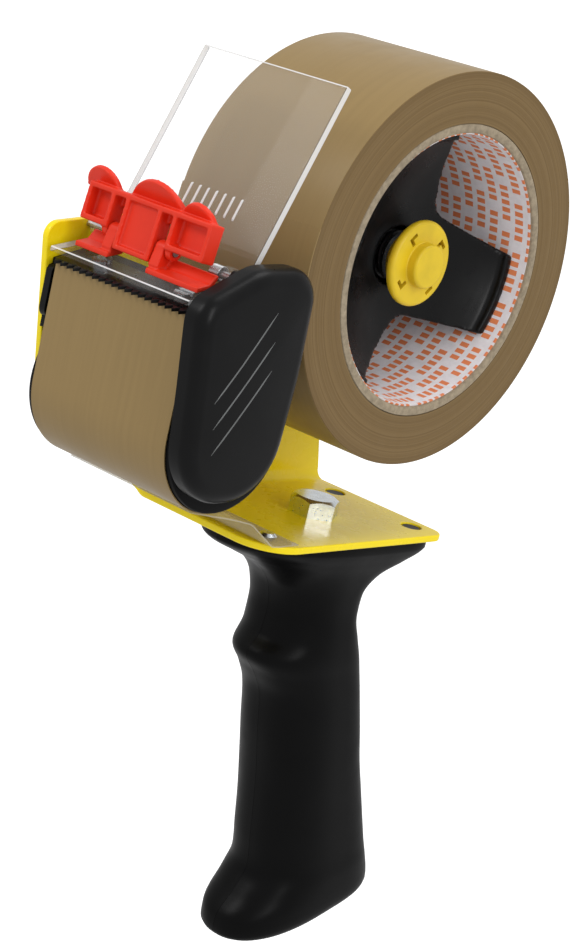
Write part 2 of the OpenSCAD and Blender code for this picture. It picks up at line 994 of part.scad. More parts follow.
module safety_flap() {
    color(red)
    at_roll()
        on_flap()
            difference() {
                union() {
                    flap_walls();
                    translate([0, flap_back - wall_t / 2, flap_top - 0.4])
                        rotate([lobe_tip, 0, 0])
                            leaf(-wall_t / 2, wall_t)
                                for (b = lobes)
                                    lobe(b[0], b[1], b[2]);
                }
                rod_x(flap_eyes[0] - 1, 30, hinge_d + 0.2);
                for (x = [panel_left - slot_w, panel_right])
                    translate([x, -6, -8])
                        cube([slot_w, 12, slot_h]);
            }
}

// ---- assembly ----

frame_plate();
handle_left_shell();
handle_right_shell();
handle_screws();
handle_bolt();
handle_nut();
hub_axle();
friction_washer();
brake_spring();
pressure_washer();
roller_axle();
roller_retainer();
side_cover();
blade_holder();
holder_screws();
cutting_blade();
blade_screws();
guard_pivot_pins();
tape_web();
spring_tongue();
tongue_rivets();
hub();
paper_core();
core_liner();
tape_winding();
roller_sleeve();
roller_core();
brake_knob();
clear_guard();
guard_spring();
flap_bracket();
flap_pin();
safety_flap();
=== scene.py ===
import math

import bmesh
import bpy
import numpy as np
from mathutils import Matrix, Vector
from mathutils.bvhtree import BVHTree


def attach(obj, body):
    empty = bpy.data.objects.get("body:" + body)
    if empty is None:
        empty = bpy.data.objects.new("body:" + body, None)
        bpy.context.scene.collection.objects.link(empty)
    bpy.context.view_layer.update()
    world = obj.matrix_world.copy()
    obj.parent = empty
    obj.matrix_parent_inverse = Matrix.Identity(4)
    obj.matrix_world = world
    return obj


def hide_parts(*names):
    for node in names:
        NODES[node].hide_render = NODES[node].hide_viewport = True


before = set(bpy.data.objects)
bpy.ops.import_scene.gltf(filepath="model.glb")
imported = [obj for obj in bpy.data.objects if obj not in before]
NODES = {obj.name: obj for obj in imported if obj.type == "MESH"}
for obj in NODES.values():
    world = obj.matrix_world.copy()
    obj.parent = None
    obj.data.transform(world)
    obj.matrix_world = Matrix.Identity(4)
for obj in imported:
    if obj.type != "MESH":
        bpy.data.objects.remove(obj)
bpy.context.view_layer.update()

MM = 0.001
ROLL = Vector((0, -18, 145))       # roll axis in the part's frame, mm
rng = np.random.default_rng(7)


# ---------------------------------------------------------------- materials

class Shader:
    """A Principled material with short calls for the nodes around it."""

    def __init__(self, name, color, rough, metal=0.0, **sockets):
        self.mat = bpy.data.materials.new(name)
        self.mat.use_nodes = True
        self.tree = self.mat.node_tree
        self.bsdf = next(n for n in self.tree.nodes if n.type == "BSDF_PRINCIPLED")
        self.color = color
        self.bsdf.inputs["Base Color"].default_value = (*color, 1)
        self.bsdf.inputs["Roughness"].default_value = rough
        self.bsdf.inputs["Metallic"].default_value = metal
        for key, value in sockets.items():
            self.bsdf.inputs[key.replace("_", " ")].default_value = value
        self.rough = rough
        self.coords = self.node("ShaderNodeTexCoord").outputs["Object"]
        self.height = None

    def node(self, kind, **values):
        n = self.tree.nodes.new(kind)
        for key, value in values.items():
            setattr(n, key, value)
        return n

    def link(self, a, b):
        self.tree.links.new(a, b)

    def math(self, op, a, b=None, c=None):
        n = self.node("ShaderNodeMath", operation=op)
        for i, v in enumerate((a, b, c)):
            if v is None:
                continue
            if isinstance(v, (int, float)):
                n.inputs[i].default_value = v
            else:
                self.link(v, n.inputs[i])
        return n.outputs[0]

    def noise(self, scale, detail=3.0, stretch=(1, 1, 1), rough=0.55):
        m = self.node("ShaderNodeMapping")
        m.inputs["Scale"].default_value = stretch
        self.link(self.coords, m.inputs["Vector"])
        n = self.node("ShaderNodeTexNoise")
        n.inputs["Scale"].default_value = scale
        n.inputs["Detail"].default_value = detail
        n.inputs["Roughness"].default_value = rough
        self.link(m.outputs[0], n.inputs["Vector"])
        return n.outputs["Fac"]

    def spread(self, value, low, high, lo_in=0.3, hi_in=0.7):
        n = self.node("ShaderNodeMapRange")
        self.link(value, n.inputs["Value"])
        for key, v in (("From Min", lo_in), ("From Max", hi_in), ("To Min", low), ("To Max", high)):
            n.inputs[key].default_value = v
        return n.outputs["Result"]

    def blend(self, fac, a, b):
        n = self.node("ShaderNodeMix", data_type="RGBA")
        for sock, v in ((n.inputs["Factor"], fac), (n.inputs["A"], a), (n.inputs["B"], b)):
            if isinstance(v, tuple):
                sock.default_value = (*v, 1)
            elif isinstance(v, (int, float)):
                sock.default_value = v
            else:
                self.link(v, sock)
        return n.outputs["Result"]

    def tint(self, value):
        self.link(value, self.bsdf.inputs["Base Color"])

    def vary(self, amount=0.06, scale=60, **kw):
        """Lighter and darker patches over the surface."""
        f = self.spread(self.noise(scale, **kw), 0, 1)
        lo = tuple(c * (1 - amount) for c in self.color)
        hi = tuple(min(1, c * (1 + amount)) for c in self.color)
        self.tint(self.blend(f, lo, hi))
        return self

    def wear(self, amount=0.06, scale=220, **kw):
        """Uneven gloss."""
        f = self.spread(self.noise(scale, **kw), self.rough - amount, self.rough + amount)
        self.link(f, self.bsdf.inputs["Roughness"])
        return self

    def bump(self, height, strength=0.2, distance=0.0001):
        n = self.node("ShaderNodeBump")
        n.inputs["Strength"].default_value = strength
        n.inputs["Distance"].default_value = distance
        self.link(height, n.inputs["Height"])
        if self.height is not None:
            self.link(self.height, n.inputs["Normal"])
        self.height = n.outputs["Normal"]
        self.link(self.height, self.bsdf.inputs["Normal"])
        return self

    def grain(self, scale=2500, strength=0.15, distance=0.00005, **kw):
        return self.bump(self.noise(scale, **kw), strength, distance)

    def axis_parts(self, centre=ROLL):
        """x, and the radius and angle about an X axis through centre."""
        s = self.node("ShaderNodeSeparateXYZ")
        self.link(self.coords, s.inputs[0])
        y = self.math("SUBTRACT", s.outputs[1], centre.y * MM)
        z = self.math("SUBTRACT", s.outputs[2], centre.z * MM)
        r = self.math("SQRT", self.math("ADD", self.math("MULTIPLY", y, y),
                                        self.math("MULTIPLY", z, z)))
        return s.outputs[0], r, self.math("ARCTAN2", z, y)


def plastic(name, color, rough, grain=2200, strength=0.18, **kw):
    return (Shader(name, color, rough, **kw).vary(0.12, 90).wear(0.05, 160)
            .grain(grain, strength, 0.00006).mat)


def black(name, value, rough, shine, grain=2000, strength=0.2):
    return plastic(name, (value, value, value * 1.05), rough, grain, strength, Specular_IOR_Level=shine)


def metal(name, color, rough, stretch=(1, 1, 1)):
    s = Shader(name, color, rough, 1.0).vary(0.1, 500, stretch=stretch)
    return s.wear(0.08, 900, stretch=stretch).grain(3000, 0.12, 0.00003, stretch=stretch).mat


def paint_yellow():
    s = Shader("yellow_paint", (0.98, 0.76, 0.006), 0.28, Specular_IOR_Level=0.25, Coat_Weight=0.16,
               Coat_Roughness=0.08)
    s.vary(0.03, 25).wear(0.05, 120)
    return s.bump(s.noise(900, 2), 0.12, 0.00006).mat


def tape_face():
    """The wound side of the roll: fine rings of cut tape edges."""
    s = Shader("tape_rings", (0.25, 0.157, 0.067), 0.5, Specular_IOR_Level=0.2)
    r = s.axis_parts()[1]
    rings = s.node("ShaderNodeTexNoise", noise_dimensions="1D")
    rings.inputs["Scale"].default_value = 2600
    rings.inputs["Detail"].default_value = 4
    s.link(r, rings.inputs["W"])
    broad = s.node("ShaderNodeTexNoise", noise_dimensions="1D")
    broad.inputs["Scale"].default_value = 420
    broad.inputs["Detail"].default_value = 2
    s.link(r, broad.inputs["W"])
    mix = s.math("ADD", s.math("MULTIPLY", rings.outputs["Fac"], 0.55),
                 s.math("MULTIPLY", broad.outputs["Fac"], 0.45))
    s.tint(s.blend(s.spread(mix, 0, 1, 0.35, 0.65), (0.155, 0.096, 0.036), (0.215, 0.14, 0.058)))
    s.bump(rings.outputs["Fac"], 0.35, 0.00012)
    return s.wear(0.07, 300).mat


def tape_skin(name, color, rough, **kw):
    """The glossy film side, with faint streaks along the tape."""
    s = Shader(name, color, rough, Coat_Weight=0.06, Coat_Roughness=0.2, Specular_IOR_Level=0.16, **kw)
    s.vary(0.035, 700, stretch=(1, 0.04, 0.04)).wear(0.05, 90)
    s.bump(s.noise(55, 2, stretch=(1, 0.25, 0.25)), 0.12, 0.0005)
    return s.mat


def core_paper():
    s = Shader("core_board", (0.33, 0.27, 0.19), 0.9, Specular_IOR_Level=0.15)
    s.vary(0.22, 700).wear(0.05, 500)
    return s.grain(1500, 0.6, 0.00025).mat


def print_paper():
    """White-lilac paper with rows of plain orange bars."""
    s = Shader("core_print", (0.86, 0.82, 0.87), 0.5)
    x, _, a = s.axis_parts()
    u = s.math("MULTIPLY", a, 38 * MM)
    row = s.math("DIVIDE", x, 4.55 * MM)
    cell = s.math("FLOOR", row)
    in_row = s.math("FRACT", row)
    along = s.math("DIVIDE", s.math("ADD", u, s.math("MULTIPLY", cell, 5.2 * MM)), 14.92 * MM)
    in_mark = s.math("FRACT", along)
    high = s.math("LESS_THAN", s.math("ABSOLUTE", s.math("SUBTRACT", in_row, 0.5)), 0.31)
    word = s.math("LESS_THAN", in_mark, 0.82)
    stroke = s.math("FRACT", s.math("MULTIPLY", in_mark, 6.1))
    bar = s.math("LESS_THAN", stroke, 0.62)
    ink = s.math("MULTIPLY", s.math("MULTIPLY", high, word), bar)
    paper = s.blend(s.spread(s.noise(400), 0, 1), (0.83, 0.79, 0.82), (0.93, 0.89, 0.92))
    s.tint(s.blend(ink, paper, (0.86, 0.26, 0.1)))
    return s.grain(1800, 0.2, 0.0001).wear(0.06, 300).mat


def clear_plastic(name, color, alpha, rough=0.06, **kw):
    s = Shader(name, color, rough, Alpha=alpha, IOR=1.49, Coat_Weight=0.1, Coat_Roughness=0.03, **kw)
    s.vary(0.04, 40).wear(0.02, 150)
    s.bump(s.noise(90, 2), 0.05, 0.0003)
    return s.mat


MAT = {
    "yellow": paint_yellow(),
    "knob": plastic("knob_yellow", (0.78, 0.55, 0.018), 0.36, 1500, 0.12, Specular_IOR_Level=0.35),
    "grip": black("grip_black", 0.0025, 0.34, 0.08, 1800, 0.25),
    "cover": black("cover_black", 0.0045, 0.32, 0.14),
    "hub": black("hub_black", 0.004, 0.3, 0.16, 1200, 0.1),
    "rubber": black("roller_black", 0.003, 0.42, 0.08, 1500),
    "core_plastic": black("roller_plastic", 0.012, 0.45, 0.2),
    "fibre": plastic("washer_fibre", (0.5, 0.45, 0.36), 0.7),
    "zinc": metal("zinc_plated", (0.72, 0.76, 0.78), 0.22),
    "steel": metal("plain_steel", (0.55, 0.55, 0.56), 0.3, (0.1, 1, 1)),
    "blade": black("blade_black", 0.005, 0.3, 0.2, 2600),
    "side": tape_face(),
    "film": tape_skin("tape_film", (0.285, 0.194, 0.08), 0.34),
    # Near-black copy of the tape film: painted shade for the stretch of tape between roll and roller.
    "single": tape_skin("tape_shaded_run", (0.03, 0.012, 0.001), 0.25, Alpha=0.9),
    "board": core_paper(),
    "print": print_paper(),
    "clear": clear_plastic("clear_sheet", (0.56, 0.55, 0.53), 0.12, Specular_IOR_Level=0.3),
    # A darker, less glossy copy of the clear plastic for the hood: painted shade.
    "hood_shade": clear_plastic("hood_shade", (0.4, 0.38, 0.36), 0.06, Specular_IOR_Level=0.12),
    # Dark grey on the sheet's bevelled rims: painted shade along the edges.
    "rim_shade": clear_plastic("rim_shade", (0.06, 0.06, 0.055), 0.6, 0.2),
    # Near-white on the sheet's cut edges, top edge, lip and front bars: painted highlight.
    "clear_edge": clear_plastic("clear_edge", (0.92, 0.92, 0.92), 0.7, 0.2),
    "tongue": clear_plastic("clear_tongue", (0.62, 0.56, 0.42), 0.45),
    # Light grey strips: painted highlights along the cover's three grooves.
    "cover_line": plastic("groove_highlight_grey", (0.13, 0.135, 0.135), 0.4),
    "red": (Shader("flap_red", (0.76, 0.03, 0.008), 0.4, Specular_IOR_Level=0.3)
            .vary(0.05, 120).wear(0.05, 200).grain(1500, 0.15, 0.00006).mat),
}


# ---------------------------------------------------------------- mesh helpers

def smooth(mesh, angle=35):
    bm = bmesh.new()
    bm.from_mesh(mesh)
    for f in bm.faces:
        f.smooth = True
    for e in bm.edges:
        e.smooth = not (len(e.link_faces) == 2 and e.calc_face_angle(0) > math.radians(angle))
    bm.to_mesh(mesh)
    bm.free()


def add(name, mesh, body, mat, nodes=(), angle=35):
    obj = bpy.data.objects.new(name, mesh)
    bpy.context.scene.collection.objects.link(obj)
    if angle:
        smooth(mesh, angle)
    for m in mat if isinstance(mat, (list, tuple)) else [mat]:
        mesh.materials.append(MAT[m])
    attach(obj, body)
    if nodes:
        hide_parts(*nodes)
    return obj


def mesh_of(name, verts, faces):
    """A mesh from millimetre points, with outward faces."""
    mesh = bpy.data.meshes.new(name)
    mesh.from_pydata([tuple(c * MM for c in v) for v in verts], [], faces)
    bm = bmesh.new()
    bm.from_mesh(mesh)
    bmesh.ops.remove_doubles(bm, verts=bm.verts, dist=1e-7)
    bmesh.ops.recalc_face_normals(bm, faces=bm.faces)
    bm.to_mesh(mesh)
    bm.free()
    return mesh


def bake(obj):
    """Puts the modifiers' result in the mesh."""
    bpy.context.view_layer.update()
    graph = bpy.context.evaluated_depsgraph_get()
    mesh = bpy.data.meshes.new_from_object(obj.evaluated_get(graph))
    obj.modifiers.clear()
    obj.data = mesh
    return obj


def temp(mesh):
    obj = bpy.data.objects.new("temp", mesh)
    bpy.context.scene.collection.objects.link(obj)
    return obj


def cut(mesh, tools, op="DIFFERENCE"):
    """mesh after a boolean with each tool mesh."""
    obj = temp(mesh)
    others = []
    for t in tools:
        o = temp(t)
        others.append(o)
        m = obj.modifiers.new("cut", "BOOLEAN")
        m.operation, m.solver, m.object = op, "EXACT", o
    bake(obj)
    out = obj.data
    for o in others + [obj]:
        bpy.data.objects.remove(o)
    return out


def moulded(mesh, voxel, rounds, factor=0.5):
    """Softens every edge, as on a moulded piece."""
    obj = temp(mesh)
    m = obj.modifiers.new("v", "REMESH")
    m.mode, m.voxel_size = "VOXEL", voxel * MM
    s = obj.modifiers.new("s", "SMOOTH")
    s.iterations, s.factor = rounds, factor
    bake(obj)
    out = obj.data
    bpy.data.objects.remove(obj)
    return out


def loft(rings):
    """Verts and faces of a closed skin over rings of equal point count."""
    n, m = len(rings[0]), len(rings)
    verts = [p for r in rings for p in r]
    faces = [(k * n + i, k * n + (i + 1) % n, (k + 1) * n + (i + 1) % n, (k + 1) * n + i)
             for k in range(m - 1) for i in range(n)]
    faces += [tuple(range(n))[::-1], tuple((m - 1) * n + i for i in range(n))]
    return verts, faces


def lathe(profile, centre=ROLL, steps=160):
    """A closed (radius, x) profile turned about the X axis through centre."""
    n = len(profile)
    verts, faces = [], []
    for k in range(steps):
        c, s = math.cos(2 * math.pi * k / steps), math.sin(2 * math.pi * k / steps)
        verts += [(x, centre.y + r * c, centre.z + r * s) for r, x in profile]
    for k in range(steps):
        j = (k + 1) % steps
        for i in range(n):
            h = (i + 1) % n
            faces.append((k * n + i, k * n + h, j * n + h, j * n + i))
    return mesh_of("lathe", verts, faces)


def arc(cx, cy, r, a0, a1, n):
    return [(cx + r * math.cos(math.radians(a0 + (a1 - a0) * i / n)),
             cy + r * math.sin(math.radians(a0 + (a1 - a0) * i / n))) for i in range(n + 1)]


def rounded(points, step=3.0):
    """A closed outline from (a, b, corner radius) points."""
    out, n = [], len(points)
    for i in range(n):
        a, b, c = (Vector(points[(i + k) % n][:2]) for k in (-1, 0, 1))
        r = points[i][2]
        if r <= 0:
            out.append(tuple(b))
            continue
        u, v = (a - b).normalized(), (c - b).normalized()
        half = u.angle(v) / 2
        o = b + (u + v).normalized() * (r / math.sin(half))
        s, e = b + u * (r / math.tan(half)) - o, b + v * (r / math.tan(half)) - o
        turn = math.pi - 2 * half
        sign = 1 if s.x * e.y - s.y * e.x > 0 else -1
        k = max(3, math.ceil(math.degrees(turn) / step))
        for j in range(k + 1):
            t = sign * turn * j / k
            out.append((o.x + s.x * math.cos(t) - s.y * math.sin(t),
                        o.y + s.x * math.sin(t) + s.y * math.cos(t)))
    return out


def circle(cx, cy, r, n=48):
    return arc(cx, cy, r, 0, 360 - 360 / n, n - 1)


def sheet_cut(outlines, thick, bevel, res=3):
    """A flat plate, centred on z = 0, from closed outlines; the inner ones are holes. Millimetres."""
    cu = bpy.data.curves.new("plate", "CURVE")
    cu.dimensions, cu.fill_mode = "2D", "BOTH"
    for line in outlines:
        sp = cu.splines.new("POLY")
        sp.points.add(len(line) - 1)
        for p, (a, b) in zip(sp.points, line):
            p.co = (a, b, 0, 1)
        sp.use_cyclic_u = True
    cu.extrude = thick / 2 - bevel
    cu.bevel_depth, cu.bevel_resolution, cu.offset = bevel, res, -bevel
    obj = temp(cu)
    bpy.context.view_layer.update()
    mesh = bpy.data.meshes.new_from_object(obj.evaluated_get(
        bpy.context.evaluated_depsgraph_get()))
    bpy.data.objects.remove(obj)
    bm = bmesh.new()
    bm.from_mesh(mesh)
    bmesh.ops.remove_doubles(bm, verts=bm.verts, dist=1e-4)
    bm.to_mesh(mesh)
    bm.free()
    return mesh


def remap(mesh, fn):
    """Moves every vertex through fn, from and to millimetres, then stores metres."""
    for v in mesh.vertices:
        v.co = Vector(fn(v.co.x, v.co.y, v.co.z)) * MM
    bm = bmesh.new()
    bm.from_mesh(mesh)
    bmesh.ops.recalc_face_normals(bm, faces=bm.faces)
    bm.to_mesh(mesh)
    bm.free()
    return mesh


def along_x(outlines, x0, x1, bevel=0.3, res=3):
    """Extrudes (y, z) outlines, measured from the roll axis, from x0 to x1."""
    mesh = sheet_cut(outlines, x1 - x0, bevel, res)
    mid = (x0 + x1) / 2
    return remap(mesh, lambda a, b, c: (mid + c, ROLL.y + a, ROLL.z + b))


def box_mesh(lo, hi):
    (x0, y0, z0), (x1, y1, z1) = lo, hi
    v = [(x, y, z) for z in (z0, z1) for x, y in ((x0, y0), (x1, y0), (x1, y1), (x0, y1))]
    f = [(0, 3, 2, 1), (4, 5, 6, 7), (0, 1, 5, 4), (1, 2, 6, 5), (2, 3, 7, 6), (3, 0, 4, 7)]
    return mesh_of("box", v, f)


def node_mesh(*names):
    """One mesh with copies of CAD nodes."""
    bm = bmesh.new()
    for n in names:
        bm.from_mesh(NODES[n].data)
    bmesh.ops.remove_doubles(bm, verts=bm.verts, dist=1e-7)
    mesh = bpy.data.meshes.new("copy")
    bm.to_mesh(mesh)
    bm.free()
    return mesh


def bevelled(obj, width, segments=3, angle=35):
    b = obj.modifiers.new("bevel", "BEVEL")
    b.width, b.segments, b.limit_method = width * MM, segments, "ANGLE"
    b.angle_limit = math.radians(angle)
    b.harden_normals = False
    w = obj.modifiers.new("normals", "WEIGHTED_NORMAL")
    w.keep_sharp = True
    return obj


def weighted(obj):
    w = obj.modifiers.new("normals", "WEIGHTED_NORMAL")
    w.keep_sharp = True
    return obj


# ---------------------------------------------------------------- frame

BEND = 4.0                       # radius of the sheet's middle in the bend
BEND_Z = -74.5
BASE_S = BEND_Z - BEND * math.pi / 2


def frame_plate():
    s_end = BASE_S - 48.5
    outline = rounded([(33, s_end, 4.5), (33, -74.5, 0), (30, -64, 20), (26, -20, 30), (27, 27, 24),
                       (-22, 27, 24), (-48, 2, 18), (-95.5, -4.5, 4), (-88.5, -44, 8),
                       (-74, -58, 20), (-46, -74.5, 1.5), (-43, -78, 1.5), (-43, s_end, 13)])
    base_s = lambda x: BASE_S - (x + 25)
    holes = [circle(0, 0, 4.05), circle(-72.4, -44.5, 4.05), circle(-86, -17, 2.15),
             circle(-87, -24, 2.15), circle(0, base_s(0), 4.25), circle(27, base_s(-15), 3.0),
             circle(27, base_s(15), 3.0)]
    mesh = sheet_cut([outline] + holes, 2.0, 0.45)
    bm = bmesh.new()
    bm.from_mesh(mesh)
    for k in range(13):
        s = BEND_Z - BEND * math.pi / 2 * k / 12
        bmesh.ops.bisect_plane(bm, geom=bm.verts[:] + bm.edges[:] + bm.faces[:],
                               plane_co=(0, s, 0), plane_no=(0, 1, 0))
    bm.to_mesh(mesh)
    bm.free()

    def bend(y, s, n):
        if s >= BEND_Z:
            return (-29 + n, ROLL.y + y, ROLL.z + s)
        if s <= BASE_S:
            return (-25 + BASE_S - s, ROLL.y + y, ROLL.z - 78.5 + n)
        t = (BEND_Z - s) / BEND
        return (-25 - (BEND - n) * math.cos(t), ROLL.y + y,
                ROLL.z + BEND_Z - (BEND - n) * math.sin(t))

    remap(mesh, bend)
    weighted(add("frame_sheet", mesh, "root", "yellow", ["frame_plate"]))


# ---------------------------------------------------------------- handle

# height, front y, back y, y of the widest point, half width, squareness in front and behind
GRIP = [
    (-79.5, -37.7, 32.2, 5, 20.7, 2.2, 8), (-79.9, -38, 32.5, 5, 21, 2.2, 8),
    (-82.6, -38, 32.5, 5, 21, 2.2, 8), (-83.3, -37.4, 32.1, 5, 20.7, 2.2, 8),
    (-87, -29, 28, 5, 19, 2.2, 6), (-92, -18, 19.5, 5, 17, 2.3, 4.5), (-98, -12, 16, 5, 15.6, 2.4, 4),
    (-105, -10, 16.5, 6, 15, 2.4, 4), (-112, -10.5, 19.5, 7, 15.3, 2.3, 4),
    (-118, -14.5, 22.5, 8, 15.4, 2.2, 4), (-124, -9.5, 25, 10, 15.2, 2.3, 4),
    (-130, -5.2, 27, 13, 15.2, 2.4, 4), (-143, -1.5, 31.5, 17, 15.3, 2.4, 4),
    (-155, 2, 35.5, 20, 15.4, 2.4, 4), (-165, 4.3, 39.5, 24, 15.4, 2.4, 4),
    (-175, 6.3, 43.5, 27, 15.5, 2.4, 4), (-184, 8, 47, 30, 15.7, 2.4, 4),
    (-190, 4, 49.5, 31, 16, 2.4, 4), (-196, -1, 52, 31, 16, 2.4, 4),
    (-199.6, -0.8, 53, 31, 15.9, 2.4, 4), (-202, 1.8, 52.7, 31, 15.1, 2.4, 4),
    (-203.2, 5.6, 51.9, 31, 13.8, 2.4, 4), (-203.4, 9, 50.5, 31, 12.2, 2.4, 4),
    (-203.4, 30.5, 31.5, 31, 0.3, 2.4, 4)]
SCREWS = ((13, -133), (29, -184))


def section_lean(z):
    """Tilt of the handle's sections, from none at -110 to 16 degrees at the foot."""
    return math.radians(16 * min(1, max(0, (-110 - z) / 90)))


def monotone(xs, ys, x):
    """Cubic through the points with no overshoot."""
    xs, ys, x = map(lambda q: np.asarray(q, float), (xs, ys, x))
    h, d = np.diff(xs), np.diff(ys) / np.diff(xs)
    m = np.zeros(len(xs))
    for i in range(1, len(xs) - 1):
        if d[i - 1] * d[i] > 0:
            w1, w2 = 2 * h[i] + h[i - 1], h[i] + 2 * h[i - 1]
            m[i] = (w1 + w2) / (w1 / d[i - 1] + w2 / d[i])
    m[0], m[-1] = d[0], d[-1]
    k = np.clip(np.searchsorted(xs, x) - 1, 0, len(xs) - 2)
    t = (x - xs[k]) / h[k]
    return ((2 * t**3 - 3 * t**2 + 1) * ys[k] + (t**3 - 2 * t**2 + t) * h[k] * m[k]
            + (-2 * t**3 + 3 * t**2) * ys[k + 1] + (t**3 - t**2) * h[k] * m[k + 1])


def handle():
    g = np.array(GRIP)
    t = np.zeros(len(g))
    for i in range(1, len(g)):
        t[i] = t[i - 1] + np.linalg.norm(g[i, [0, 1, 2, 4]] - g[i - 1, [0, 1, 2, 4]]) + 0.01
    want = np.unique(np.concatenate([np.linspace(t[i], t[i + 1], max(2, int((t[i + 1] - t[i]) / 1.3) + 1))
                                     for i in range(len(g) - 1)]))
    cols = [monotone(t, g[:, c], want) for c in range(7)]
    half_n, seam = 40, 0.04
    for side, name in ((1, "right"), (-1, "left")):
        rings = []
        for z, front, back, mid, a, nf, nb in zip(*cols):
            ring = []
            for i in range(half_n + 1):
                q = math.radians(-90 + 180 * i / half_n)
                n, b = (nf, mid - front) if q < 0 else (nb, back - mid)
                x = a * abs(math.cos(q)) ** (2 / n)
                y = math.copysign(b * abs(math.sin(q)) ** (2 / n), q)
                ring.append((max(x, seam), y))
            lip = min(0.2, (back - front) * 0.1)
            full = [(0.01, ring[0][1] + lip)] + ring + [(0.01, ring[-1][1] - lip)]
            lean = math.tan(section_lean(z))
            rings.append([(side * x, ROLL.y + mid + y, ROLL.z + z + y * lean) for x, y in full])
        mesh = mesh_of(name, *loft(rings))
        if side < 0:
            mesh = cut(mesh, [along_x_rod(-20, -10, 3.1, y, z) for y, z in SCREWS])
        add(f"handle_{name}_grip", mesh, "root", "grip", [f"handle_{name}_shell"], 50)
        peg = lathe_z((side * 15, 27), [(0.01, -80), (2.8, -80), (2.8, -78.2), (2.4, -77.8), (0.01, -77.8)])
        add(f"{name}_peg", peg, "root", "grip")


def along_x_rod(x0, x1, r, y, z, steps=48):
    """A rod from x0 to x1, with y and z measured from the roll axis."""
    c = Vector((0, ROLL.y + y, ROLL.z + z))
    return lathe([(0.001, x0), (r, x0), (r, x1), (0.001, x1)], c, steps)


def lathe_z(at, profile, steps=64):
    """A closed (radius, z) profile turned about a vertical axis; z is measured from the roll axis."""
    n = len(profile)
    verts, faces = [], []
    for k in range(steps):
        c, s = math.cos(2 * math.pi * k / steps), math.sin(2 * math.pi * k / steps)
        verts += [(at[0] + r * c, ROLL.y + at[1] + r * s, ROLL.z + z) for r, z in profile]
    for k in range(steps):
        j = (k + 1) % steps
        for i in range(n):
            h = (i + 1) % n
            faces.append((k * n + i, k * n + h, j * n + h, j * n + i))
    return mesh_of("turned", verts, faces)


def hex_head():
    """Hexagon head with a turned chamfer, and the shank below it."""
    af, top = 13.0, 5.3
    r = af / math.sqrt(3)
    ring = [(r * math.cos(math.radians(60 * k)), r * math.sin(math.radians(60 * k))) for k in range(6)]
    z0 = -77.5
    v, f = loft([[(x, ROLL.y + y, ROLL.z + z0 + z) for x, y in ring] for z in (0.0, top)])
    prism = mesh_of("hex", v, f)
    dome = lathe_z((0, 0), [(0.001, z0 - 1), (12, z0 - 1), (12, z0 + 3.2), (7.6, z0 + 4.2),
                            (6.1, z0 + top - 0.15), (5.9, z0 + top), (0.001, z0 + top)], 96)
    mesh = cut(prism, [dome], "INTERSECT")
    bevelled(add("handle_bolt_head", mesh, "root", "zinc", ["handle_bolt"]), 0.22, 2, 25)
    shank = lathe_z((0, 0), [(0.001, z0 - 28), (3.5, z0 - 28), (4, z0 - 27.4), (4, z0 + 0.4),
                             (0.001, z0 + 0.4)])
    add("handle_bolt_shank", shank, "root", "zinc")


# ---------------------------------------------------------------- roll

def winding():
    r0, r1, x1 = 40.5, 54.48, 25.0
    radii = np.linspace(r1 - 0.35, r0 + 0.1, 58)
    ripple = rng.normal(0, 0.035, len(radii))
    ripple = np.convolve(ripple, [0.25, 0.5, 0.25], "same")
    face = [(r, x1 - 0.05 + w) for r, w in zip(radii, ripple)]
    back = [(r, -x) for r, x in face[::-1]]
    edge = [(r1 - 0.16, x1 - 0.02), (r1 - 0.03, x1 - 0.18), (r1, x1 - 0.4)]
    profile = back + [(r, -x) for r, x in edge] + edge[::-1] + face
    mesh = lathe(profile, steps=240)
    add("tape_roll", mesh, "roll", ["side", "film"], ["tape_winding"], 60)
    for p in mesh.polygons:
        ys = [math.hypot(mesh.vertices[i].co.y - ROLL.y * MM, mesh.vertices[i].co.z - ROLL.z * MM)
              for i in p.vertices]
        p.material_index = 1 if min(ys) > (r1 - 0.1) * MM else 0


def core():
    w = 0.25
    prof = [(40.5, -25 + w), (40.5, 25 - w), (40.3, 25.05), (39.4, 25.12), (38.2, 25.02), (38.0, 25 - w),
            (38.0, -25 + w), (38.2, -25.02), (40.3, -25.05)]
    add("core_tube", lathe(prof, steps=200), "roll", "board", ["paper_core"], 50)
    inner = [(37.98, -24.9), (37.98, 24.2), (37.6, 24.4), (37.5, 24.2), (37.5, -24.8)]
    add("core_lining", lathe(inner, steps=200), "roll", "print", ["core_liner"], 50)


def hub():
    """The moulded spider, with its bore cut round again after the softening."""
    axle_r, clearance = 5, 0.12
    bore = along_x_rod(-32, 32, axle_r + clearance, 0, 0, 128)
    mesh = cut(moulded(node_mesh("hub"), 0.55, 7), [bore])
    add("hub_spider", mesh, "roll", "hub", ["hub"], 0)
    smooth(mesh, 80)


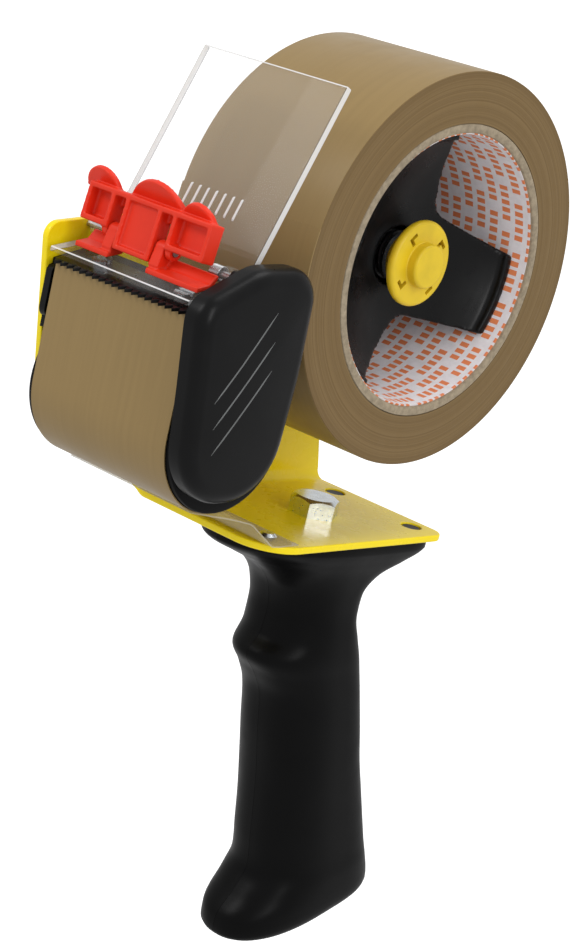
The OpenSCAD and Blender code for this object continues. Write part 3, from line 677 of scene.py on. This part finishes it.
def knob():
    """A thin disc with a rounded rim, a round boss and four L-shaped slots."""
    x0, x1, x2, r, boss = 14.4, 17.2, 20.4, 12.0, 6.2
    neck = [(0.001, 10.9), (4.5, 10.9), (4.5, x0)]
    disc = ([(r - 1.2 + a, x0 + 1.2 + b) for a, b in arc(0, 0, 1.2, -90, 0, 6)]
            + [(r - 1.3 + a, x1 - 1.3 + b) for a, b in arc(0, 0, 1.3, 0, 90, 8)])
    cap = ([(boss + 0.35 - a, x1 + 0.35 - b) for a, b in arc(0, 0, 0.35, 90, 0, 4)]
           + [(boss - 1 + a, x2 - 1 + b) for a, b in arc(0, 0, 1, 0, 90, 8)] + [(0.001, x2)])
    mesh = lathe(neck + disc + cap, steps=128)
    tools = []
    for k in range(4):
        turn = Matrix.Translation(ROLL * MM) @ Matrix.Rotation(math.radians(45 + 90 * k), 4, "X")
        for lo, hi in (((x0 - 1, 7.0, -0.6), (x1 + 1, 9.7, 0.6)), ((x0 - 1, 8.6, -2.4), (x1 + 1, 9.7, -0.2))):
            b = box_mesh(lo, hi)
            b.transform(turn)
            tools.append(b)
    mesh = cut(mesh, tools)
    bevelled(add("knob_cap", mesh, "knob", "knob", ["brake_knob"]), 0.15, 2, 40)


# ---------------------------------------------------------------- roller and tape

ROLLER = ROLL + Vector((0, -72.4, -44.5))


def roller():
    prof = [(17.2, -26.8), (19.4, -26.8), (19.85, -26.6), (20, -26.2), (20, 26.2), (19.85, 26.6),
            (19.4, 26.8), (17.2, 26.8)]
    add("roller_tube", lathe(prof, ROLLER, 160), "roller", "rubber", ["roller_sleeve"], 50)


def web():
    """The tape from the roll round the roller and up to the blade, as a thin swept strip."""
    lead, meet = 54.75, 20.5
    gap = math.hypot(72.4, 44.5)
    mid = 180 + math.degrees(math.atan(44.5 / 72.4))
    leave = mid - math.degrees(math.acos((lead + meet) / gap))
    on_roll = arc(0, 0, 54.62, leave - 14, leave, 12)
    on_roller = arc(-72.4, -44.5, 20.35, leave - 180, -180, 70)
    run = [tuple(np.array(on_roll[-1]) * (1 - k / 24) + np.array(on_roller[0]) * k / 24)
           for k in range(1, 24)]
    up_top = -13.6
    up = [(-92.75, -44.5 + (up_top + 44.5) * k / 12) for k in range(1, 13)]
    strip("tape_lead", on_roll + run[:9], "film", ())
    # The stretch between roll and roller gets the near-black copy of the film: painted shade.
    strip("tape_run", run[8:] + on_roller[:8], "single", ())
    strip("tape_strip", on_roller[6:] + up, "film", ["tape_web"])


def strip(name, path, mat, nodes, half=25.0, thick=0.15):
    pts = np.array(path)
    d = np.gradient(pts, axis=0)
    d /= np.linalg.norm(d, axis=1)[:, None]
    nrm = np.stack([-d[:, 1], d[:, 0]], 1)
    xs = np.linspace(-half, half, 13)
    rings = []
    for p, n in zip(pts, nrm):
        a, b = p + n * thick, p - n * thick
        ring = [(x, ROLL.y + a[0], ROLL.z + a[1]) for x in xs]
        ring += [(x, ROLL.y + b[0], ROLL.z + b[1]) for x in xs[::-1]]
        rings.append(ring)
    v, f = loft(rings)
    add(name, mesh_of(name, v, f), "root", mat, nodes, 50)


def tongue():
    path = [(-30, -77.25), (-38, -77.25), (-40.4, -77.1), (-42, -76.2), (-50, -70.7), (-52, -69.9),
            (-60, -68.2), (-74.8, -65.7)]
    strip_at("tongue_sheet", path, -24, 22, "tongue", ["spring_tongue"])


def strip_at(name, path, x0, x1, mat, nodes, thick=0.2):
    pts = np.array(path, float)
    d = np.gradient(pts, axis=0)
    d /= np.linalg.norm(d, axis=1)[:, None]
    nrm = np.stack([-d[:, 1], d[:, 0]], 1)
    rings = [[(x, ROLL.y + q[0], ROLL.z + q[1]) for x, q in
              ((x0, p + n * thick), (x1, p + n * thick), (x1, p - n * thick), (x0, p - n * thick))]
             for p, n in zip(pts, nrm)]
    v, f = loft(rings)
    add(name, mesh_of(name, v, f), "root", mat, nodes, 40)


# ---------------------------------------------------------------- cutting head

COVER = [(-100, -9, 7), (-81, 0.5, 14), (-60, 1.5, 9), (-59, -26, 60), (-61, -59.5, 17),
         (-93.5, -59.5, 17), (-97, -30, 60)]


def resample(line, count):
    p = np.array(line + [line[0]])
    s = np.concatenate([[0], np.cumsum(np.linalg.norm(np.diff(p, axis=0), axis=1))])
    w = np.linspace(0, s[-1], count, endpoint=False)
    return np.stack([np.interp(w, s, p[:, 0]), np.interp(w, s, p[:, 1])], 1)


def side_cover():
    line = resample(rounded(COVER, 2), 220)
    for _ in range(3):
        line = (np.roll(line, 1, 0) + 2 * line + np.roll(line, -1, 0)) / 4
    d = np.roll(line, -1, 0) - np.roll(line, 1, 0)
    d /= np.linalg.norm(d, axis=1)[:, None]
    area = np.sum(line[:, 0] * np.roll(line[:, 1], -1) - np.roll(line[:, 0], -1) * line[:, 1])
    inward = np.stack([-d[:, 1], d[:, 0]], 1) * np.sign(area)
    mid = line.mean(0)
    inset, rise, top = 4.2, 3.6, 35.0
    rings = []
    for off, x in ((2.2, 34.0), (2.2, 28.3), (1.9, 28.0), (0.3, 28.0), (0.0, 28.3)):
        rings.append((line + inward * off, x))
    for k in range(0, 11):
        a = math.radians(9 * k)
        rings.append((line + inward * inset * (1 - math.cos(a)), top - rise + rise * math.sin(a)))
    base = rings[-1][0]
    for k in range(1, 13):
        w = k / 12.5
        rings.append((mid + (base - mid) * (1 - w), top + 0.65 * (1 - (1 - w) ** 2)))
    rings = [[(x, ROLL.y + p[0], ROLL.z + p[1]) for p in pts] for pts, x in rings]
    v, f = loft(rings)
    mesh = mesh_of("cover", v, f)
    add("cover_shell", mesh, "root", "cover", ["side_cover"], 40)
    tree = BVHTree.FromPolygons([v.co for v in mesh.vertices], [p.vertices for p in mesh.polygons])
    # Three thin raised strips in light grey along the cover's grooves: painted highlights.
    for k in range(3):
        a = Vector((0, ROLL.y - 74.5 + k, ROLL.z - 9.5 - 7.3 * k))
        b = Vector((0, ROLL.y - 90.0 + 1.4 * k, ROLL.z - 32.5 - 6.6 * k))
        side = Vector((0, (b - a).z, (a - b).y)).normalized() * 0.24
        rings = []
        for i in range(25):
            q = a.lerp(b, i / 24)
            w = min(1, 0.2 + min(i, 24 - i) / 4)
            top = tree.ray_cast((q + Vector((60, 0, 0))) * MM, Vector((-1, 0, 0)))[0].x / MM
            rings.append([(x, q.y + side.y * t * w, q.z + side.z * t * w)
                          for t, x in ((-1, top - 0.3), (-1, top + 0.02), (0, top + 0.1), (1, top + 0.02),
                                       (1, top - 0.3))])
        v, f = loft(rings)
        add(f"cover_line_{k}", mesh_of("line", v, f), "root", "cover_line", [], 60)


def holder_screws():
    """Two low slotted heads on the outside of the side plate, with their shanks."""
    for k, (y, z) in enumerate(((-86, -17), (-87, -24))):
        head = ([(0.001, -31.4), (2.4, -31.4)] + [(2.4 + a, -30.8 + b) for a, b in arc(0, 0, 0.6, -90, 0, 5)]
                + [(3, -30.02), (2, -30.02), (2, -22.5), (0.001, -22)])
        mesh = lathe(head, ROLL + Vector((0, y, z)), 64)
        slot = box_mesh((-32, ROLL.y + y - 4, ROLL.z + z - 0.4), (-30.8, ROLL.y + y + 4, ROLL.z + z + 0.4))
        add(f"holder_screw_{k}", cut(mesh, [slot]), "root", "zinc",
            ["holder_screws"] if k == 0 else (), 30)


def blade():
    count, pitch, half, depth, tooth = 21, 2.4, 25.6, 11.7, 1.7
    start = -count * pitch / 2
    line = [(half, 0), (-half, 0), (-half, tooth - depth)]
    for i in range(count):
        line += [(start + i * pitch + 0.15, tooth - depth), (start + (i + 0.5) * pitch, -depth),
                 (start + (i + 1) * pitch - 0.15, tooth - depth)]
    line.append((half, tooth - depth))
    slope = math.atan(3.1 / 11.3)
    mesh = sheet_cut([line], 0.9, 0.12, 1)
    c, s = math.cos(slope), math.sin(slope)
    remap(mesh, lambda a, b, n: (a, ROLL.y - 83.5 + b * c - (n - 0.45) * s,
                                 ROLL.z - 10.2 + b * s + (n - 0.45) * c))
    add("blade_strip", mesh, "root", "blade", ["cutting_blade"], 30)


GUARD_TOP = Vector((-56.2, 45.7))
GUARD_FOOT = Vector((-74.6, 2))


def clear_guard():
    """The sheet with its hood, eyes and raised bars. Its cut edges carry a painted white highlight, its
    bevelled rims painted dark shade, and its hood a darker, less glossy copy of the clear plastic as painted
    shade.
    """
    top, foot, t, hood = GUARD_TOP, GUARD_FOOT, 2.0, 1.5
    up = (top - foot).normalized()
    back = Vector((up.y, -up.x)) * t
    line = [(*top, 0.4), (*foot, 3), (-77.9, -5.9, 2), (-95.8, -9.7, 0.5), (-95.8, -9.7 - hood, 0.5),
            (-77.2, -5.95 - hood, 4), (*(foot + back - up), 5), (*(top + back), 0.4)]
    mesh = along_x([rounded(line)], -25.2, 25.2, 0.22, 2)
    add("guard_plate", mesh, "guard",
        ["clear", "clear_edge", "hood_shade", "rim_shade"], ["clear_guard"], 30)
    # Cut edges, top edge and lip take the painted white highlight; bevelled rims the painted dark shade; the
    # hood the darker painted-shade copy.
    for p in mesh.polygons:
        c = p.center / MM - ROLL
        lip = c.y < -95.4 and p.normal.z > 0.35
        if abs(p.normal.x) > 0.9 or c.z > 45.2 or lip:
            p.material_index = 1
        elif abs(p.normal.x) > 0.2:
            p.material_index = 3
        elif c.z < 0:
            p.material_index = 2
    for side in (-1, 1):
        x0, x1 = sorted((side * 21.6, side * 25.2))
        ring = [circle(-81.3, -4, 2.5), circle(-81.3, -4, 1.1)]
        add(f"guard_eye_{'left' if side < 0 else 'right'}", along_x(ring, x0, x1, 0.3), "guard",
            "clear", [], 40)
    for k in range(7):
        x = -6 + 3 * k
        rib(f"guard_rib_{k}", x)


def rib(name, x):
    """A small raised bar on the front of the guard, one of a plain row."""
    up = (GUARD_TOP - GUARD_FOOT).normalized()
    out = Vector((-up.y, up.x))
    pts = [GUARD_FOOT + up * h + out * d for h, d in ((5.9, 0.0), (6.3, 0.3), (11.5, 0.3), (11.9, 0.0))]
    rings = [[(x + dx, ROLL.y + q.x, ROLL.z + q.y) for q in pts] for dx in (-0.26, 0.26)]
    v, f = loft(rings)
    # The bars take the near-white edge colour: painted highlight.
    add(name, mesh_of(name, v, f), "guard", "clear_edge", [], 30)


def flap():
    mesh = moulded(node_mesh("safety_flap"), 0.3, 5)
    add("flap_body", mesh, "flap", "red", ["safety_flap"], 0)
    smooth(mesh, 80)
    mesh = moulded(node_mesh("flap_bracket"), 0.26, 4)
    add("flap_clip", mesh, "guard", "red", ["flap_bracket"], 0)
    smooth(mesh, 80)


def dress(**groups):
    """Procedural materials on the CAD nodes that stay, by material name."""
    for mat, names in groups.items():
        for n in names:
            data = NODES[n].data
            data.materials.clear()
            data.materials.append(MAT[mat])


frame_plate()
handle()
hex_head()
winding()
core()
hub()
knob()
roller()
web()
tongue()
side_cover()
holder_screws()
blade()
clear_guard()
flap()
dress(zinc=["handle_screws", "handle_nut", "pressure_washer", "roller_retainer",
            "blade_screws", "tongue_rivets"],
      steel=["hub_axle", "roller_axle", "guard_pivot_pins", "guard_spring", "flap_pin"],
      blade=["brake_spring"],
      fibre=["friction_washer"], cover=["blade_holder"], core_plastic=["roller_core"])


# ---------------------------------------------------------------- floor, light, camera

def material_stage():
    s = Shader("floor_white", (0.93, 0.93, 0.93), 0.9, Emission_Color=(1, 1, 1, 1), Emission_Strength=0.6)
    return s.vary(0.01, 3).mat


def floor():
    mesh = bpy.data.meshes.new("floor")
    n, size, z = 24, 40.0, -0.45
    verts = [(size * (i / n - 0.5), size * (j / n - 0.5), z) for j in range(n + 1) for i in range(n + 1)]
    faces = [(j * (n + 1) + i, j * (n + 1) + i + 1, (j + 1) * (n + 1) + i + 1, (j + 1) * (n + 1) + i)
             for j in range(n) for i in range(n)]
    mesh.from_pydata(verts, [], faces)
    obj = bpy.data.objects.new("floor", mesh)
    mesh.materials.append(material_stage())
    bpy.context.scene.collection.objects.link(obj)
    obj.visible_diffuse = obj.visible_glossy = False


def area(name, at, target, size, power, color=(1, 1, 1)):
    data = bpy.data.lights.new(name, "AREA")
    data.shape, data.size, data.size_y = "RECTANGLE", size[0], size[1]
    data.energy, data.color = power, color
    obj = bpy.data.objects.new(name, data)
    obj.location = at
    obj.rotation_euler = (Vector(target) - Vector(at)).to_track_quat("-Z", "Y").to_euler()
    bpy.context.scene.collection.objects.link(obj)


def lights():
    """A white backdrop that lights the part softly, and three soft boxes."""
    world = bpy.context.scene.world or bpy.data.worlds.new("studio")
    bpy.context.scene.world = world
    world.use_nodes = True
    tree = world.node_tree
    bg = next(n for n in tree.nodes if n.type == "BACKGROUND")
    bg.inputs["Color"].default_value = (1, 1, 1, 1)
    path = tree.nodes.new("ShaderNodeLightPath")
    level = tree.nodes.new("ShaderNodeMapRange")
    level.inputs["To Min"].default_value, level.inputs["To Max"].default_value = 0.7, 1.02
    tree.links.new(path.outputs["Is Camera Ray"], level.inputs["Value"])
    tree.links.new(level.outputs["Result"], bg.inputs["Strength"])
    target = (0, -0.03, 0.06)
    area("key", (-0.35, -0.75, 0.75), target, (0.35, 0.35), 3)
    area("side", (0.9, -0.25, 0.45), target, (0.25, 0.7), 3)
    area("top", (0.15, 0.25, 0.95), target, (0.4, 0.4), 2)


def camera():
    """Looks from the knob's side and the cutting end, a little from above, with the picture tilted."""
    az, el, roll = (math.radians(v) for v in (39.5, 13.9, 13.05))
    lens, film, dist = 88.13, 36, 636.5
    across, above = 23.4, 61.8       # of the roll axis from the middle of the view, mm
    d = Vector((math.sin(az) * math.cos(el), -math.cos(az) * math.cos(el), math.sin(el)))
    right = Vector((math.cos(az), math.sin(az), 0))
    up = d.cross(right)
    r = right * math.cos(roll) + up * math.sin(roll)
    u = -right * math.sin(roll) + up * math.cos(roll)
    at = (ROLL - (r * across + u * above - d * dist)) * MM
    cam = bpy.data.cameras.new("camera")
    cam.sensor_fit, cam.sensor_width, cam.sensor_height = "VERTICAL", film, film
    cam.lens = lens
    cam.clip_start, cam.clip_end = 0.02, 50
    obj = bpy.data.objects.new("camera", cam)
    m = Matrix((r, u, d)).transposed().to_4x4()
    m.translation = at
    obj.matrix_world = m
    bpy.context.scene.collection.objects.link(obj)
    bpy.context.scene.camera = obj


floor()
lights()
camera()
bpy.context.scene.view_settings.view_transform = "Standard"
